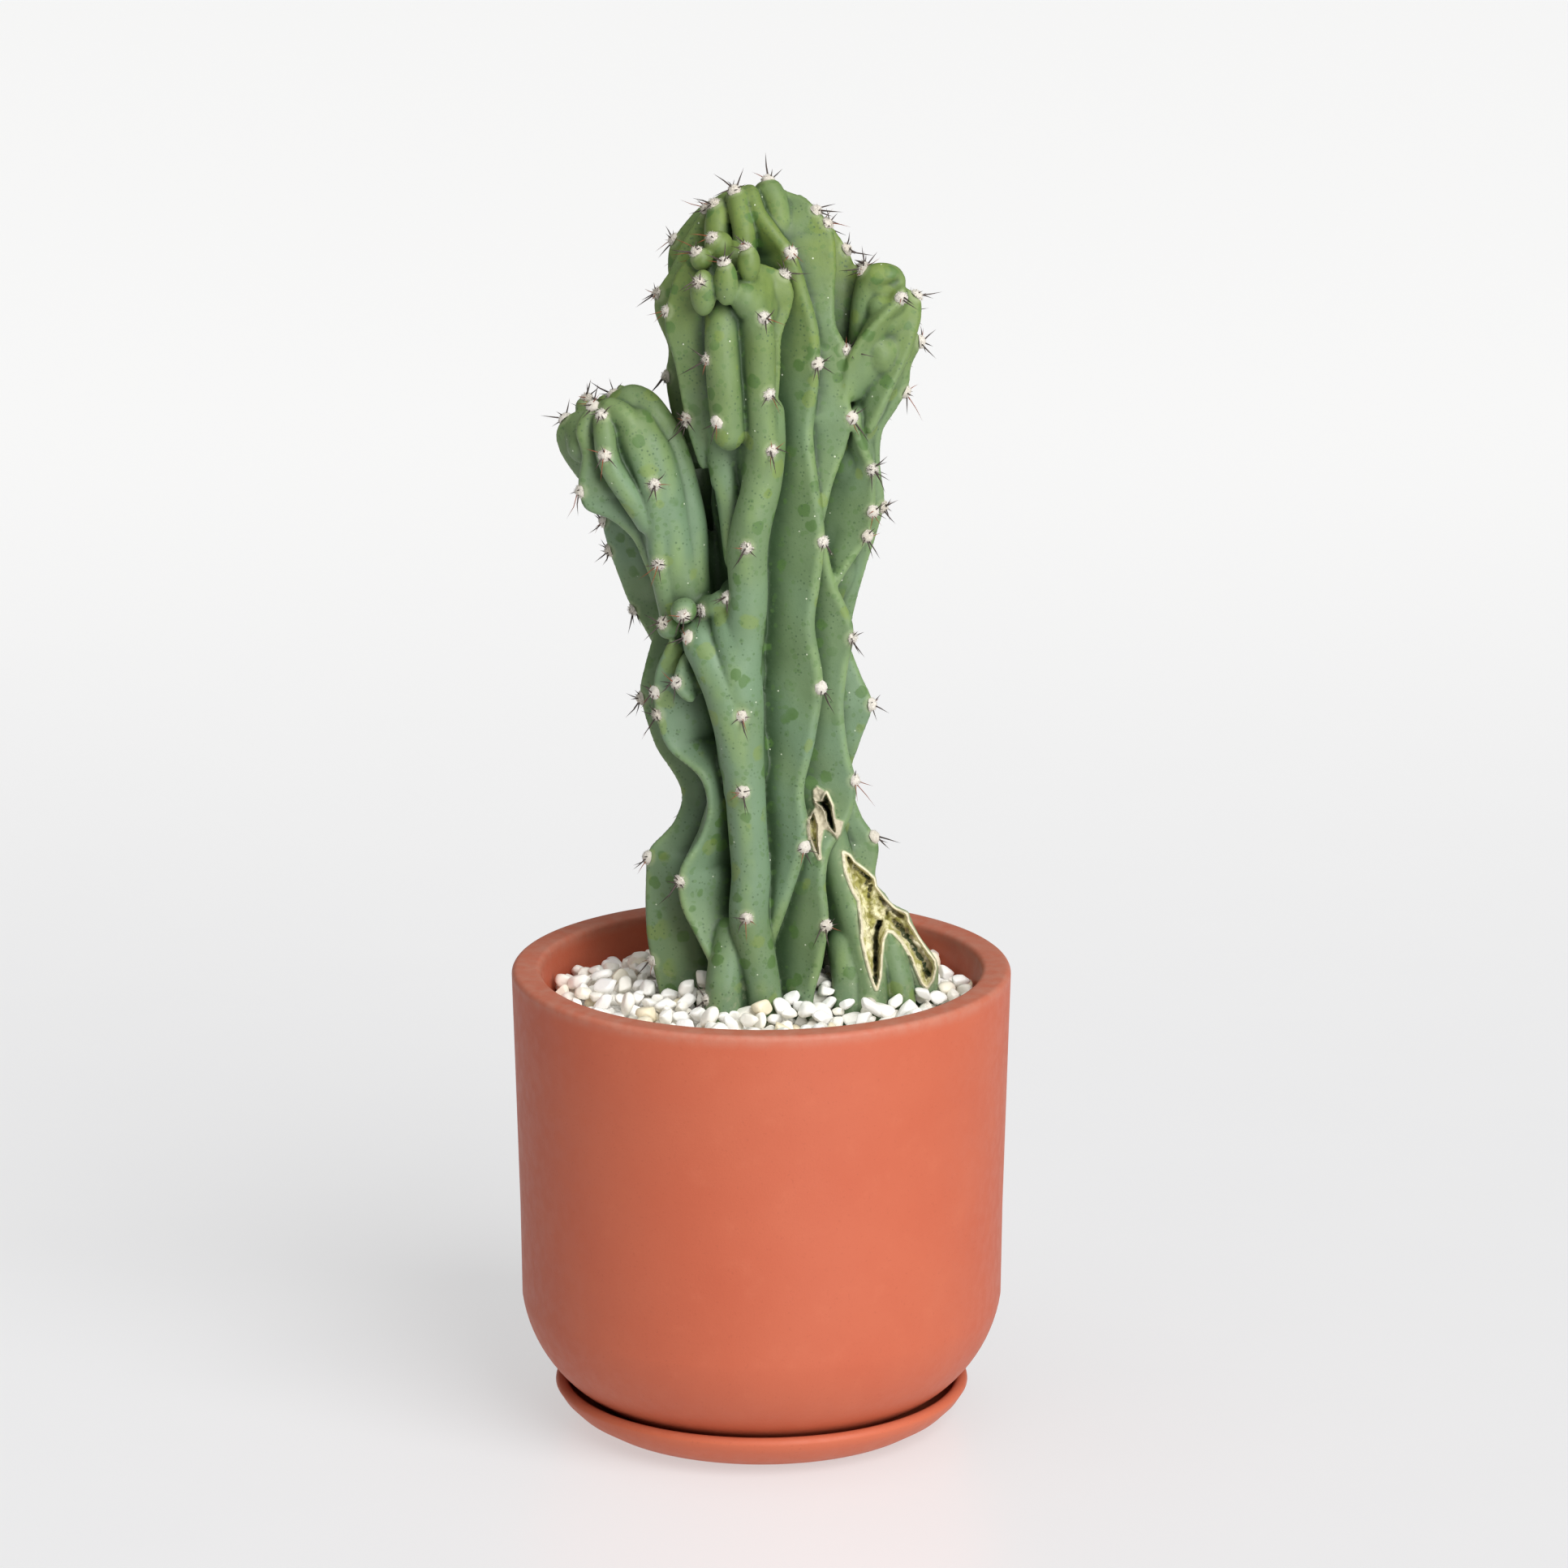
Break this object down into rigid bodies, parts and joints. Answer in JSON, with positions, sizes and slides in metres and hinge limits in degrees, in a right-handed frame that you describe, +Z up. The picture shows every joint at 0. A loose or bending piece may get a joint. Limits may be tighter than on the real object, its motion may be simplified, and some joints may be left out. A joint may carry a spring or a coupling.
{
  "type": "potted monstrose peruvian apple cactus",
  "caption": "Knobbly, branching monstrose column cactus with woolly spined areoles, standing in white gravel in a plain round terracotta pot on its matching saucer.",
  "frame": {"origin": "middle of the saucer's flat underside, on the surface the plant stands on", "axes": "+Z up along the pot's axis, -Y towards the plant's best side, +X to the right as seen from that side"},
  "size_m": [0.154, 0.154, 0.3974],
  "materials": {
    "saucer_clay": "matte unglazed terracotta",
    "pot_clay": "matte unglazed terracotta",
    "soil": "loose, dry and matte",
    "gravel": "smooth white pebbles, satin",
    "cactus": "waxy blue-green skin, satin",
    "felt": "off-white woolly felt",
    "spines": "dark stiff spines, satin",
    "callus": "dry papery healed skin, matte"
  },
  "bodies": {
    "root": {"saucer": "saucer_clay", "pot": "pot_clay", "soil": "soil", "gravel": "gravel", "cactus": "cactus"}
  },
  "joints": []
}
